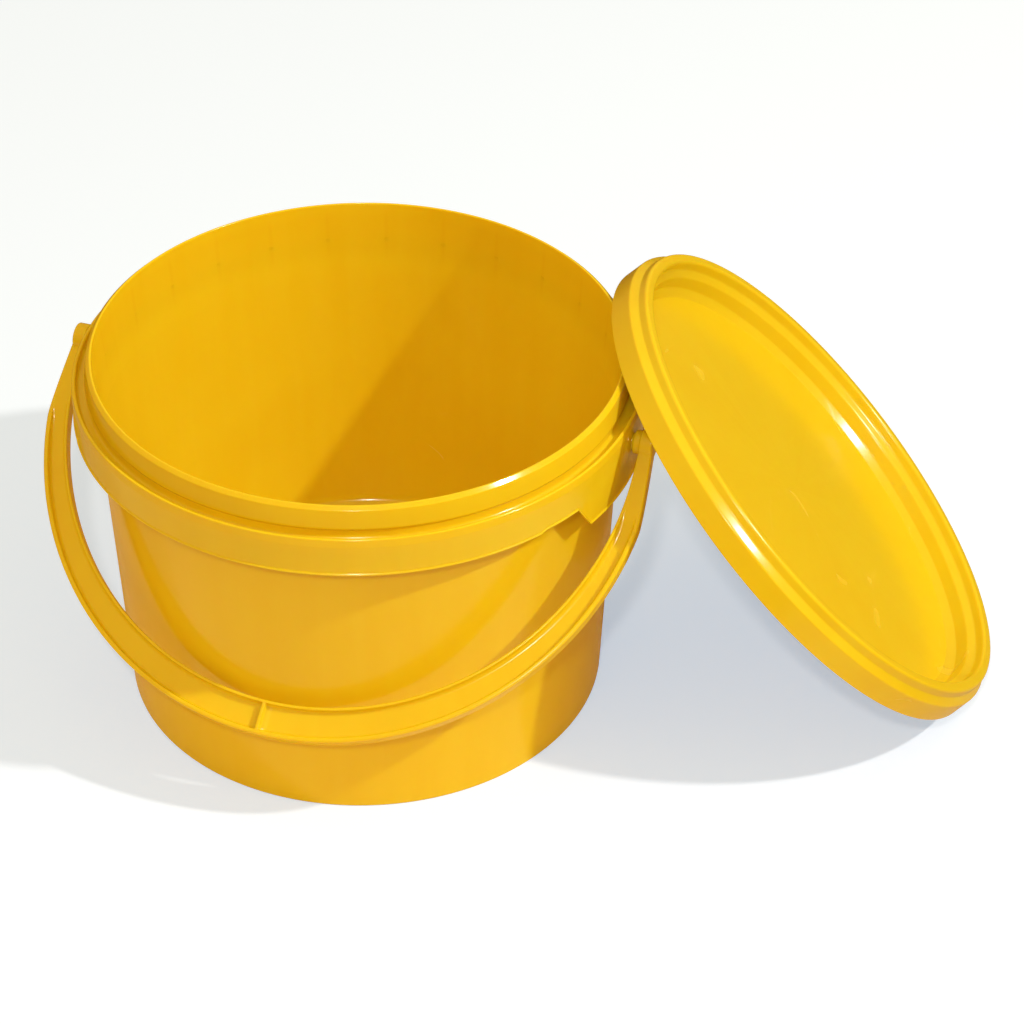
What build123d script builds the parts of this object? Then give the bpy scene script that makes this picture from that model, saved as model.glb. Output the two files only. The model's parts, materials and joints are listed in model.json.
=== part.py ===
from build123d import *
from math import acos, asin, atan2, ceil, cos, degrees, hypot, radians, sin, sqrt
import os

# Plastic honey bucket: a tapered round pail with a snap rim, a strap handle that hangs in front of it,
# and its lid leaning on the rim. Millimetres, +Z up, origin on the floor under the centre of the base.

# Pail, overall
band_radius = 100.0  # outside of the band round the rim
pail_height = 137.1  # floor to the top of the lip
base_radius = 86.45  # outside of the foot ring

# Pail, shell and base
wall = 1.4
base_panel = 1.4
foot_height = 3.0  # underside of the base panel above the floor
foot_wall = 1.85

# Pail, snap rim: drops are measured down from the top of the lip
rim_wall = 2.0  # collar, above the groove
lip_setback = 0.7  # top of the lip inside the collar
lip_edge = 0.7
lip_bevel = 0.45
bead_stand = 0.9  # snap bead outside the collar
bead_drop = 7.9
bead_under = 1.3  # height of the bead's undercut
seat_drop = 10.1  # foot of the straight mouth that the lid plugs
seat_ramp = 3.0
collar_step = 2.0  # collar outside the wall below it
groove_width = 3.9
groove_drop = 13.1
web = 1.4  # floor of the groove
upstand_wall = 1.8  # outer side of the groove
upstand_drop = 8.1
upstand_bevel = 0.5
upstand_bevel_height = 3.0

# Pail, band with its two ears and its ribs
band_wall = 1.3
band_drop = 23.5
edge_step = 0.8  # the band's edge stands higher beside each ear
edge_step_angle = 33.0
apron_depth = 9.1  # the ears hang below the band's edge
apron_angle_top = 23.0
apron_angle_bottom = 18.9
ribs_per_side = 13
rib_thick = 1.2
rib_setback = 1.5  # ribs end above the band's edge
rib_clear_angle = 8.5  # no rib this close to a pin

# Handle
pivot_angle = -19.5  # azimuth of the right ear
pivot_drop = 19.1
pin_radius = 3.0
pin_clear = 0.05
head_radius = 4.2  # snap head behind the ear
head_tip_radius = 2.4
head_length = 2.2
head_gap = 0.4
shoulder_radius = 4.2
shoulder_gap = 0.4
boss_radius = 5.0
boss_length = 4.5
strap_gap = 2.8  # band to the inside of the strap
strap_side = 7.1  # width of the strap beside the pail
strap_front = 12.2  # and at the middle of the bow
strap_thick = 5.0
strap_web = 2.4
inner_flange = 1.0
outer_flange = 1.6
arm_length = 12.0  # straight arms, from the pins to the centre of the bow
arm_taper = 27.0  # the arms narrow from here to the bosses
arm_round = 60.0
pocket_start = 30.0  # the channel in the strap begins here
cross_rib = 1.2
cross_rib_offset = 3.0
hang_gap = 0.4  # hanging handle to the wall

# Lid
lid_wall = 1.2
skirt_clear = 0.2  # skirt to the outer side of the groove
skirt_floor_gap = 0.4  # skirt's edge to the floor of the groove
skirt_draft = 0.5
skirt_height = 7.4
shoulder_height = 10.6
shoulder_flare = 0.35  # top of the shoulder outside the crest
lip_clear = 0.15  # crest of the lid to the lip inside it
plug_clear = 0.25  # plug to the mouth
plug_draft = 0.3
ledge_height = 10.2
ledge_fall = 2.0
stack_clear = 0.95  # recess to the foot of a pail stacked on the lid
recess_draft = 0.75
recess_depth = 13.0
ramp_height = 2.6  # sloped ring round the panel
ramp_width = 2.6
snap_hook = 0.2  # lid's bead under the pail's bead
snap_height = 2.8
snap_half = 1.1
snap_root = 0.3
lean_angle = 46.5  # lid to the floor
lean_gap = 0.65
floor_gap = 0.05
lean_step = 0.5  # spacing of the circles compared to place the lid

# Pail, worked out
groove_outer = band_radius - upstand_wall
collar_radius = groove_outer - groove_width
wall_top_radius = collar_radius - collar_step
mouth_radius = collar_radius - rim_wall
lip_radius = collar_radius - lip_setback
bead_radius = collar_radius + bead_stand
bead_height = pail_height - bead_drop
band_inner = band_radius - band_wall
band_bottom = pail_height - band_drop
apron_bottom = band_bottom - apron_depth
upstand_top = pail_height - upstand_drop
web_top = pail_height - groove_drop
web_bottom = web_top - web
seat_height = pail_height - seat_drop
base_top = foot_height + base_panel
foot_inner = base_radius - foot_wall
wall_slope = (wall_top_radius - base_radius) / web_bottom


def wall_outside(height):
    """Outside radius of the tapered wall at a height."""
    return base_radius + wall_slope * height


def wall_inside(height):
    """Inside radius of the tapered wall at a height."""
    return wall_outside(height) - wall


# Ears: the pivot axis points at the right ear, and the handle hangs on the front side
pivot_height = pail_height - pivot_drop
pivot_centre = Vector(0, 0, pivot_height)
pivot_axis = Vector(1, 0, 0).rotate(Axis.Z, pivot_angle)
front = pivot_axis.rotate(Axis.Z, -90)
pivot_line = Axis(pivot_centre, pivot_axis)

# Handle, worked out: it swings down until the inside of the bow meets the wall
strap_inner = band_radius + strap_gap
strap_outer = strap_inner + strap_side
outer_centre = arm_length + strap_front - strap_side
boss_outer = strap_inner + boss_length
bow_reach = arm_length + strap_inner
half_thick = strap_thick / 2
hang_along = bow_reach + wall_slope * half_thick
hang_across = wall_slope * bow_reach - half_thick
hang_radius = wall_outside(pivot_height) + hang_gap
hang_angle = atan2(hang_across, hang_along) + acos(hang_radius / hypot(hang_along, hang_across))
strap_normal = front * sin(hang_angle) + Vector(0, 0, cos(hang_angle))
handle_plane = Plane(pivot_centre, x_dir=-pivot_axis, z_dir=strap_normal)

# Lid, worked out from the rim that it closes, as radius and height above the skirt's edge
skirt_outer = groove_outer - skirt_clear
crest_height = groove_drop - skirt_floor_gap + lid_wall
crest_outer = lip_radius + lip_clear + lid_wall
crest_inner = mouth_radius - plug_clear - lid_wall
recess_radius = base_radius + stack_clear
panel_height = crest_height - recess_depth
lid_top = [
    (skirt_outer, 0),
    (skirt_outer - skirt_draft, skirt_height),
    (crest_outer + shoulder_flare, shoulder_height),
    (crest_outer, crest_height),
    (crest_inner, crest_height),
    (crest_inner - plug_draft, ledge_height),
    (recess_radius + recess_draft, ledge_height - ledge_fall),
    (recess_radius, panel_height + ramp_height),
    (recess_radius - ramp_width, panel_height),
    (0, panel_height),
]


def offset_line(points, distance):
    """Move an open line of corners to its left by a distance, with mitred corners."""
    normals = []
    for (x0, y0), (x1, y1) in zip(points, points[1:]):
        length = hypot(x1 - x0, y1 - y0)
        normals.append(((y0 - y1) / length, (x1 - x0) / length))
    moved = []
    for (x, y), before, after in zip(points, normals[:1] + normals, normals + normals[-1:]):
        mitre = distance / (1 + before[0] * after[0] + before[1] * after[1])
        moved.append((x + mitre * (before[0] + after[0]), y + mitre * (before[1] + after[1])))
    return moved


def spread(points, step):
    """Points along an open line of corners, no further apart than a step."""
    spread_points = [points[0]]
    for (x0, y0), (x1, y1) in zip(points, points[1:]):
        count = ceil(hypot(x1 - x0, y1 - y0) / step)
        for index in range(1, count + 1):
            share = index / count
            spread_points.append((x0 + share * (x1 - x0), y0 + share * (y1 - y0)))
    return spread_points


lid_under = offset_line(lid_top, lid_wall)
snap_radius = bead_radius - snap_hook
lean = radians(lean_angle)
lid_rise = skirt_outer * sin(lean) + floor_gap


def lean_reach(lid_line, pail_line):
    """Distance from the pail's axis to the lid's centre, with the lid slid in to the lean gap.

    A circle of the lid and a circle of the pail meet where they are level, so each pair gives the
    least distance that keeps them apart, and the greatest of these holds for the whole lid.
    """
    reach = 0.0
    for lid_radius, lid_height in lid_line:
        for pail_radius, pail_level in pail_line:
            level = (pail_level - lid_rise - lid_height * cos(lean)) / (lid_radius * sin(lean))
            if abs(level) > 1:
                continue
            aside = lid_radius * sqrt(1 - level**2)
            clear_radius = pail_radius + lean_gap
            if aside < clear_radius:
                ahead = sqrt(clear_radius**2 - aside**2)
                reach = max(reach, ahead + lid_radius * level * cos(lean) - lid_height * sin(lean))
    return reach


pail_side = [
    (base_radius, 0),
    (wall_outside(apron_bottom), apron_bottom),
    (band_radius, apron_bottom),
    (band_radius, upstand_top - upstand_bevel_height),
    (band_radius - upstand_bevel, upstand_top),
    (bead_radius, upstand_top),
    (bead_radius, bead_height),
    (lip_radius, pail_height - lip_edge),
    (lip_radius, pail_height + lean_gap),
]
lid_side = spread(lid_under[:-1] + [(recess_radius / 2, panel_height - lid_wall)], lean_step)
snap_ring = [(snap_radius, snap_height)]
lid_centre = Vector(lean_reach(lid_side + snap_ring, spread(pail_side, lean_step)), 0, lid_rise)
lid_normal = Vector(sin(lean), 0, cos(lean))
lid_plane = Plane(lid_centre, x_dir=(cos(lean), 0, -sin(lean)), z_dir=(0, -1, 0))

# Bucket: the band and its ears are cut first, then the shell of revolution joins them
with BuildPart() as bucket:
    with BuildSketch(Plane.XZ):
        with Locations((band_inner, apron_bottom)):
            Rectangle(band_wall, web_bottom - apron_bottom, align=(Align.MIN, Align.MIN))
    revolve(axis=Axis.Z)

    # What is cut away below the band's edge, between the ears
    with BuildSketch(Plane((0, 0, 0), x_dir=-front, z_dir=pivot_axis)):
        for side in (1, -1):
            apron_top_x = side * band_radius * sin(radians(apron_angle_top))
            apron_bottom_x = side * band_radius * sin(radians(apron_angle_bottom))
            step_x = side * band_radius * sin(radians(edge_step_angle))
            outside_x = side * (band_radius + band_wall)
            below = apron_bottom - band_wall
            with BuildLine():
                Polyline(
                    (apron_bottom_x, below),
                    (apron_bottom_x, apron_bottom),
                    (apron_top_x, band_bottom + edge_step),
                    (step_x, band_bottom + edge_step),
                    (step_x, band_bottom),
                    (outside_x, band_bottom),
                    (outside_x, below),
                    close=True,
                )
            make_face()
    extrude(amount=band_radius + band_wall, both=True, mode=Mode.SUBTRACT)

    # Shell: foot, base, wall, web, upstand, groove, collar, bead, lip and mouth
    shell_outline = [
        (0, foot_height),
        (foot_inner, foot_height),
        (foot_inner, 0),
        (base_radius, 0),
        (wall_top_radius, web_bottom),
        (band_radius, web_bottom),
        (band_radius, upstand_top - upstand_bevel_height),
        (band_radius - upstand_bevel, upstand_top),
        (groove_outer, upstand_top),
        (groove_outer, web_top),
        (collar_radius, web_top),
        (collar_radius, bead_height - bead_under),
        (bead_radius, bead_height),
        (lip_radius, pail_height - lip_edge),
        (lip_radius - lip_bevel, pail_height),
        (mouth_radius + lip_bevel, pail_height),
        (mouth_radius, pail_height - lip_bevel),
        (mouth_radius, seat_height),
        (wall_inside(seat_height - seat_ramp), seat_height - seat_ramp),
        (wall_inside(base_top), base_top),
        (0, base_top),
    ]
    with BuildSketch(Plane.XZ):
        with BuildLine():
            Polyline(shell_outline, close=True)
        make_face()
    revolve(axis=Axis.Z)

    # Ribs between the wall and the band, on both sides of the ears
    rib_depth = web_bottom - band_bottom - rib_setback
    rib_inner = wall_outside(web_bottom - rib_depth) - wall / 2
    rib_outer = band_inner + band_wall / 2
    with BuildSketch(Plane.XY.offset(web_bottom)):
        for ear_angle in (pivot_angle, pivot_angle + 180):
            with PolarLocations(
                (rib_inner + rib_outer) / 2,
                ribs_per_side,
                start_angle=ear_angle + rib_clear_angle,
                angular_range=180 - 2 * rib_clear_angle,
                endpoint=True,
            ):
                Rectangle(rib_outer - rib_inner, rib_thick)
    extrude(amount=-rib_depth)

    # Holes in the ears for the handle's pins
    for side in (1, -1):
        ear_point = pivot_centre + pivot_axis * side * band_inner
        with BuildSketch(Plane(ear_point, z_dir=pivot_axis * side)):
            Circle(pin_radius + pin_clear)
        extrude(amount=2 * band_wall, both=True, mode=Mode.SUBTRACT)

# Handle: a flat bow, widest at its middle, with a channel down its outer face and a pin at each end
with BuildPart() as handle:
    with BuildSketch(handle_plane.offset(-half_thick)) as bow:
        taper_angle = degrees(asin((arm_taper - outer_centre) / strap_outer))
        with BuildLine():
            CenterArc((0, arm_length), strap_inner, 0, 180)
            outer_arc = CenterArc((0, outer_centre), strap_outer, taper_angle, 180 - 2 * taper_angle)
            for side, arc_end in ((1, outer_arc @ 0), (-1, outer_arc @ 1)):
                Polyline(
                    (side * strap_inner, arm_length),
                    (side * strap_inner, 0),
                    (side * boss_outer, 0),
                    arc_end,
                )
        make_face()
        fillet(bow.vertices().group_by(Axis.Y)[-1], radius=arm_round)
    extrude(amount=strap_thick)

    # Channel, in two lengths with a thin rib between them
    with BuildSketch(handle_plane.offset(half_thick)):
        with Locations((0, outer_centre)):
            Circle(strap_outer - outer_flange)
        with Locations((0, arm_length)):
            Circle(strap_inner + inner_flange, mode=Mode.SUBTRACT)
        with Locations((0, pocket_start)):
            Rectangle(2 * strap_outer, 2 * strap_outer, align=(Align.CENTER, Align.MAX), mode=Mode.SUBTRACT)
        with Locations((cross_rib_offset, bow_reach)):
            Rectangle(cross_rib, 2 * strap_front, mode=Mode.SUBTRACT)
    extrude(amount=strap_web - strap_thick, mode=Mode.SUBTRACT)

    # Boss, shoulder, pin and snap head, turned about the pivot
    head_back = sqrt(band_inner**2 - head_radius**2) - head_gap
    shoulder_face = band_radius + shoulder_gap
    for side in (1, -1):
        with BuildSketch(Plane(pivot_centre, x_dir=pivot_axis * side, z_dir=front)):
            with BuildLine():
                Polyline(
                    (head_back - head_length, 0),
                    (head_back - head_length, head_tip_radius),
                    (head_back, head_radius),
                    (head_back, pin_radius),
                    (shoulder_face, pin_radius),
                    (shoulder_face, shoulder_radius),
                    (strap_inner, shoulder_radius),
                    (strap_inner, boss_radius),
                    (boss_outer, boss_radius),
                    (boss_outer, 0),
                    close=True,
                )
            make_face()
        revolve(axis=pivot_line)

# Lid: one skin of revolution, with a snap bead inside its skirt
with BuildPart() as lid:
    with BuildSketch(lid_plane):
        with BuildLine():
            Polyline(lid_top + lid_under[::-1], close=True)
        make_face()
        snap_inner = offset_line(lid_top[:2], lid_wall)[0][0] + snap_root
        with BuildLine():
            Polyline(
                (snap_inner, snap_height - snap_half),
                (snap_radius, snap_height),
                (snap_inner, snap_height + snap_half),
                close=True,
            )
        make_face()
    revolve(axis=Axis(lid_centre, lid_normal))

os.makedirs("parts", exist_ok=True)
for name, piece in (("bucket", bucket), ("handle", handle), ("lid", lid)):
    piece.part.label = name
    export_step(piece.part, f"parts/{name}.step")

print(f"handle hangs {degrees(hang_angle):.2f} degrees below level")
print(f"pivot at height {pivot_height:.2f}, axis {tuple(round(v, 5) for v in pivot_axis)}")
print(f"lid centre {tuple(round(v, 2) for v in lid_centre)}, normal {tuple(round(v, 5) for v in lid_normal)}")
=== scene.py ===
"""Looks of a plastic honey bucket: the pail, its strap handle and its lid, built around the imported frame."""
import json
import logging
import math
from collections.abc import Callable, Sequence
from dataclasses import dataclass, field
from enum import Enum
from functools import reduce

import bmesh
import bpy
from mathutils import Matrix, Vector


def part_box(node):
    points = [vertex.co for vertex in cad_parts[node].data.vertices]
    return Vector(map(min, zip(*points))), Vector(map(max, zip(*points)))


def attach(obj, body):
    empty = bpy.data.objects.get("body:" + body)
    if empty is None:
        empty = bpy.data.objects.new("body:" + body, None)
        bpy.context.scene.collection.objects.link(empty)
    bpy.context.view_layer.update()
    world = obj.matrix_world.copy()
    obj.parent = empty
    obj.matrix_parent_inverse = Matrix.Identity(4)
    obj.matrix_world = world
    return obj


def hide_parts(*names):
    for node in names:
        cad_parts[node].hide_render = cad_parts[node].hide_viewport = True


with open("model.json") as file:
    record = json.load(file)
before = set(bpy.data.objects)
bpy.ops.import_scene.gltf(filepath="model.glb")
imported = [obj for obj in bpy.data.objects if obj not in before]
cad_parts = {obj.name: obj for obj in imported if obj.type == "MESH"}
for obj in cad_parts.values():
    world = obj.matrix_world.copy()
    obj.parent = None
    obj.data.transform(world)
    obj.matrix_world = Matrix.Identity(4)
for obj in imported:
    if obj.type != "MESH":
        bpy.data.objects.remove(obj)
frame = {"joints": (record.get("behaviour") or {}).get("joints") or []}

log = logging.getLogger("honey_bucket")

Colour = tuple[float, float, float]
ColourAlpha = tuple[float, float, float, float]
Material = bpy.types.Material
Piece = bpy.types.Object
Shell = bmesh.types.BMesh
Socket = bpy.types.NodeSocket
Tree = bpy.types.NodeTree

MM = 0.001
ARC_STEP = math.radians(15)  # turn between two points of a round
STRAIGHT = math.radians(3)  # turn below which a corner stays as it is
ROUND_REACH = 0.48  # most of a side that one round may take
SUPPORT = 0.45  # millimetres from a round to the ring that keeps the flat beside it flat
SAME_LEVEL = 0.01  # millimetres within which two levels count as one
TURN_STEPS = 288
TURN_CROWD = 0.3  # share of a step within which an even angle gives way to a held one


class Ear(Enum):
    """The two ends of the handle, as signs along the pivot axis."""

    RIGHT = 1
    LEFT = -1


class ShellUse(Enum):
    """What a second shell does to a piece, in the modifier's own words."""

    JOIN = "UNION"
    CUT = "DIFFERENCE"


@dataclass(frozen=True)
class Corner:
    """A corner of a turned outline, in millimetres.

    Args:
        radius: distance from the axis.
        height: height along the axis.
        round: radius of the corner's round.
        on_edge: true where the corner follows the band's uneven lower edge.
    """

    radius: float
    height: float
    round: float = 0.0
    on_edge: bool = False


def arc_points(before: Corner, here: Corner, after: Corner) -> list[Corner]:
    """Replace one corner by the points of its round.

    Args:
        before: the corner before it on the outline.
        here: the corner itself.
        after: the corner after it.

    Returns:
        The points of the round, or the corner itself where it is sharp or nearly straight.
    """
    point = Vector((here.radius, here.height))
    back = Vector((before.radius, before.height)) - point
    ahead = Vector((after.radius, after.height)) - point
    turn = math.pi - back.angle(ahead)
    if here.round <= 0 or turn < STRAIGHT:
        return [here]
    reach = min(here.round * math.tan(turn / 2), ROUND_REACH * back.length, ROUND_REACH * ahead.length)
    radius = reach / math.tan(turn / 2)
    start = point + back.normalized() * reach
    centre = point + (back.normalized() + ahead.normalized()).normalized() * radius / math.cos(turn / 2)
    spoke = start - centre
    sense = 1.0 if back.x * ahead.y - back.y * ahead.x < 0 else -1.0
    steps = max(2, math.ceil(turn / ARC_STEP))
    points = []
    for index in range(steps + 1):
        angle = sense * turn * index / steps
        x = centre.x + spoke.x * math.cos(angle) - spoke.y * math.sin(angle)
        y = centre.y + spoke.x * math.sin(angle) + spoke.y * math.cos(angle)
        points.append(Corner(x, y, 0.0, here.on_edge))
    return points


def round_corners(corners: Sequence[Corner]) -> list[Corner]:
    """Round the corners of an open outline.

    Args:
        corners: the outline's corners, from one end to the other.

    Returns:
        The points of the outline.
    """
    points = [corners[0]]
    for before, here, after in zip(corners, corners[1:], corners[2:]):
        points.extend(arc_points(before, here, after))
    return points + [corners[-1]]


def rounded(corners: Sequence[Corner]) -> list[Corner]:
    """Round the corners of an open outline and support the flats between the rounds.

    Args:
        corners: the outline's corners, from one end to the other.

    Returns:
        The points of the outline, with two more on each long straight run, close to its ends.
    """
    points = round_corners(corners)
    supported = [points[0]]
    for start, end in zip(points, points[1:]):
        length = math.hypot(end.radius - start.radius, end.height - start.height)
        if length > 4 * SUPPORT:
            for share, near in ((SUPPORT / length, start), (1 - SUPPORT / length, end)):
                supported.append(Corner(
                    start.radius + share * (end.radius - start.radius),
                    start.height + share * (end.height - start.height),
                    0.0,
                    near.on_edge,
                ))
        supported.append(end)
    return supported


def offset_line(points: Sequence[tuple[float, float]], distance: float) -> list[tuple[float, float]]:
    """Move an open line of corners to its left, with mitred corners.

    Args:
        points: the line's corners.
        distance: how far to move it.

    Returns:
        The moved corners.
    """
    normals = []
    for (x0, y0), (x1, y1) in zip(points, points[1:]):
        length = math.hypot(x1 - x0, y1 - y0)
        normals.append(((y0 - y1) / length, (x1 - x0) / length))
    moved = []
    for (x, y), before, after in zip(points, normals[:1] + normals, normals + normals[-1:]):
        mitre = distance / (1 + before[0] * after[0] + before[1] * after[1])
        moved.append((x + mitre * (before[0] + after[0]), y + mitre * (before[1] + after[1])))
    return moved


def turn_steps(extra: Sequence[float] = ()) -> list[float]:
    """Angles round a turned piece, in radians.

    Args:
        extra: further angles to hold, in radians.

    Returns:
        The even steps and the further angles in order, without steps that crowd a further angle.
    """
    held = [angle % math.tau for angle in extra]
    crowd = TURN_CROWD * math.tau / TURN_STEPS
    even = [math.tau * index / TURN_STEPS for index in range(TURN_STEPS)]
    kept = [angle for angle in even if all(abs(angle - other) > crowd for other in held)]
    return sorted(kept + held)


def turned(
    points: Sequence[Corner],
    angles: Sequence[float],
    edge_lift: Callable[[float], float] = lambda angle: 0.0,
) -> Shell:
    """Turn an outline about the Z axis into a closed shell.

    Args:
        points: the outline, in millimetres, from the axis back to the axis.
        angles: the angles of the turn, in radians.
        edge_lift: how far points on the band's edge rise at an angle, in millimetres.

    Returns:
        The shell, in metres, with its faces pointing outwards.
    """
    shell = bmesh.new()
    columns = []
    poles = [shell.verts.new((0, 0, end.height * MM)) for end in (points[0], points[-1])]
    for angle in angles:
        column = [poles[0]]
        for point in points[1:-1]:
            height = point.height + (edge_lift(angle) if point.on_edge else 0.0)
            column.append(shell.verts.new((
                point.radius * math.cos(angle) * MM,
                point.radius * math.sin(angle) * MM,
                height * MM,
            )))
        columns.append(column + [poles[1]])
    for left, right in zip(columns, columns[1:] + columns[:1]):
        for index in range(len(points) - 1):
            ring = [left[index], right[index], right[index + 1], left[index + 1]]
            shell.faces.new(list(dict.fromkeys(ring)))
    bmesh.ops.recalc_face_normals(shell, faces=shell.faces)
    return shell


def mesh_object(name: str, shell: Shell, place: Matrix | None = None) -> Piece:
    """Make a smooth-shaded object of a shell, with its place in its mesh.

    Args:
        name: the piece's name.
        shell: the mesh, which is freed.
        place: where the shell goes in the frame.

    Returns:
        The new object, at the origin.
    """
    if place is not None:
        shell.transform(place)
    mesh = bpy.data.meshes.new(name)
    shell.to_mesh(mesh)
    shell.free()
    for polygon in mesh.polygons:
        polygon.use_smooth = True
    piece = bpy.data.objects.new(name, mesh)
    bpy.context.scene.collection.objects.link(piece)
    return piece


def settle(piece: Piece) -> Piece:
    """Turn a piece's modifiers into its mesh.

    Args:
        piece: the object with its modifiers.

    Returns:
        The same object, with a plain mesh and no modifiers.
    """
    bpy.context.view_layer.update()
    graph = bpy.context.evaluated_depsgraph_get()
    mesh = bpy.data.meshes.new_from_object(piece.evaluated_get(graph))
    mesh.name = piece.name
    piece.modifiers.clear()
    piece.data = mesh
    return piece


def combine(piece: Piece, other: Piece, use: ShellUse) -> Piece:
    """Join a shell to a piece or cut it away, and delete it.

    Args:
        piece: the piece that stays.
        other: the shell to use up.
        use: whether it is joined or cut away.

    Returns:
        The piece, with its new mesh.
    """
    modifier = piece.modifiers.new(use.name.lower(), "BOOLEAN")
    modifier.operation = use.value
    modifier.solver = "EXACT"
    modifier.object = other
    settle(piece)
    bpy.data.objects.remove(other)
    return piece


def flat_shading(piece: Piece) -> Piece:
    """Keep the flats of a cut piece flat, by normals weighted by area.

    Args:
        piece: the piece to shade.

    Returns:
        The same piece.
    """
    modifier = piece.modifiers.new("weighted_normals", "WEIGHTED_NORMAL")
    modifier.mode = "FACE_AREA"
    modifier.weight = 90
    modifier.keep_sharp = True
    return settle(piece)


@dataclass(frozen=True)
class GroupSocket:
    """A named input of a shader group: its socket type and its first value."""

    name: str
    kind: str = "NodeSocketFloat"
    value: float | None = None


class ShaderGroup:
    """A shader node group under construction, with short ways to add and join its nodes."""

    def __init__(self, name: str, inputs: Sequence[GroupSocket], outputs: Sequence[str]) -> None:
        """Start the group.

        Args:
            name: the group's name.
            inputs: its inputs.
            outputs: the names of its value outputs.
        """
        self.tree = bpy.data.node_groups.new(name, "ShaderNodeTree")
        for socket in inputs:
            made = self.tree.interface.new_socket(socket.name, in_out="INPUT", socket_type=socket.kind)
            if socket.value is not None:
                made.default_value = socket.value
        for output in outputs:
            self.tree.interface.new_socket(output, in_out="OUTPUT", socket_type="NodeSocketFloat")
        self.given = self.tree.nodes.new("NodeGroupInput").outputs
        self.result = self.tree.nodes.new("NodeGroupOutput").inputs

    def math(self, operation: str, first: object, second: object = 0.0) -> Socket:
        """Add a Math node to the group."""
        return math_node(self.tree, operation, first, second)

    def product(self, *values: object) -> Socket:
        """Multiply values together, from the first to the last."""
        return reduce(lambda first, second: self.math("MULTIPLY", first, second), values)

    def around(self, soften: float = 0.0) -> tuple[Socket, Socket, Socket, Socket]:
        """Split the group's coordinates and measure their distance from the Z axis.

        Args:
            soften: a small area that keeps the distance above zero on the axis.

        Returns:
            X, Y, Z and the distance.
        """
        split = self.tree.nodes.new("ShaderNodeSeparateXYZ")
        join(self.tree, self.given["Vector"], split.inputs[0])
        x, y, z = split.outputs
        squares = self.math("ADD", self.math("POWER", x, 2.0), self.math("POWER", y, 2.0))
        return x, y, z, self.math("SQRT", self.math("ADD", squares, soften))

    def noise(self, vector: object, scale: object, detail: float, distortion: float = 0.0) -> Socket:
        """Add a Noise Texture.

        Args:
            vector: the coordinates.
            scale: a socket or a number.
            detail: octaves of the noise.
            distortion: how far the noise warps itself.

        Returns:
            Its value.
        """
        node = self.tree.nodes.new("ShaderNodeTexNoise")
        join(self.tree, vector, node.inputs["Vector"])
        join(self.tree, scale, node.inputs["Scale"])
        node.inputs["Detail"].default_value = detail
        node.inputs["Distortion"].default_value = distortion
        return node.outputs["Fac"]

    def spread(self, value: object, low: float, high: float) -> Socket:
        """Stretch part of a value's range to 0 to 1, in the group."""
        return ranged(self.tree, value, low, high)


def join(tree: Tree, source: object, target: Socket) -> None:
    """Link a socket to a socket, or set a plain value on it."""
    if isinstance(source, Socket):
        tree.links.new(source, target)
    else:
        target.default_value = source


def ranged(tree: Tree, value: Socket, low: float, high: float) -> Socket:
    """Stretch part of a value's range to 0 to 1.

    Args:
        tree: the tree to work in.
        value: the socket to stretch.
        low: what becomes 0.
        high: what becomes 1.

    Returns:
        The stretched value.
    """
    node = tree.nodes.new("ShaderNodeMapRange")
    join(tree, value, node.inputs["Value"])
    node.inputs["From Min"].default_value = low
    node.inputs["From Max"].default_value = high
    return node.outputs["Result"]


def math_node(tree: Tree, operation: str, first: object, second: object = 0.0) -> Socket:
    """Add a Math node.

    Args:
        tree: the tree to work in.
        operation: its operation.
        first: a socket or a number.
        second: a socket or a number.

    Returns:
        Its output.
    """
    node = tree.nodes.new("ShaderNodeMath")
    node.operation = operation
    join(tree, first, node.inputs[0])
    join(tree, second, node.inputs[1])
    return node.outputs[0]


def mixed(tree: Tree, mask: Socket, first: object, second: object, share: float = 1.0) -> Socket:
    """Mix two colours by a mask.

    Args:
        tree: the tree to work in.
        mask: where the second colour shows.
        first: a colour or a colour socket.
        second: a colour or a colour socket.
        share: how much of the second colour shows where the mask is full.

    Returns:
        The mixed colour.
    """
    node = tree.nodes.new("ShaderNodeMix")
    node.data_type = "RGBA"
    join(tree, math_node(tree, "MULTIPLY", mask, share), node.inputs[0])
    join(tree, first, node.inputs[6])
    join(tree, second, node.inputs[7])
    return node.outputs[2]


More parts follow.
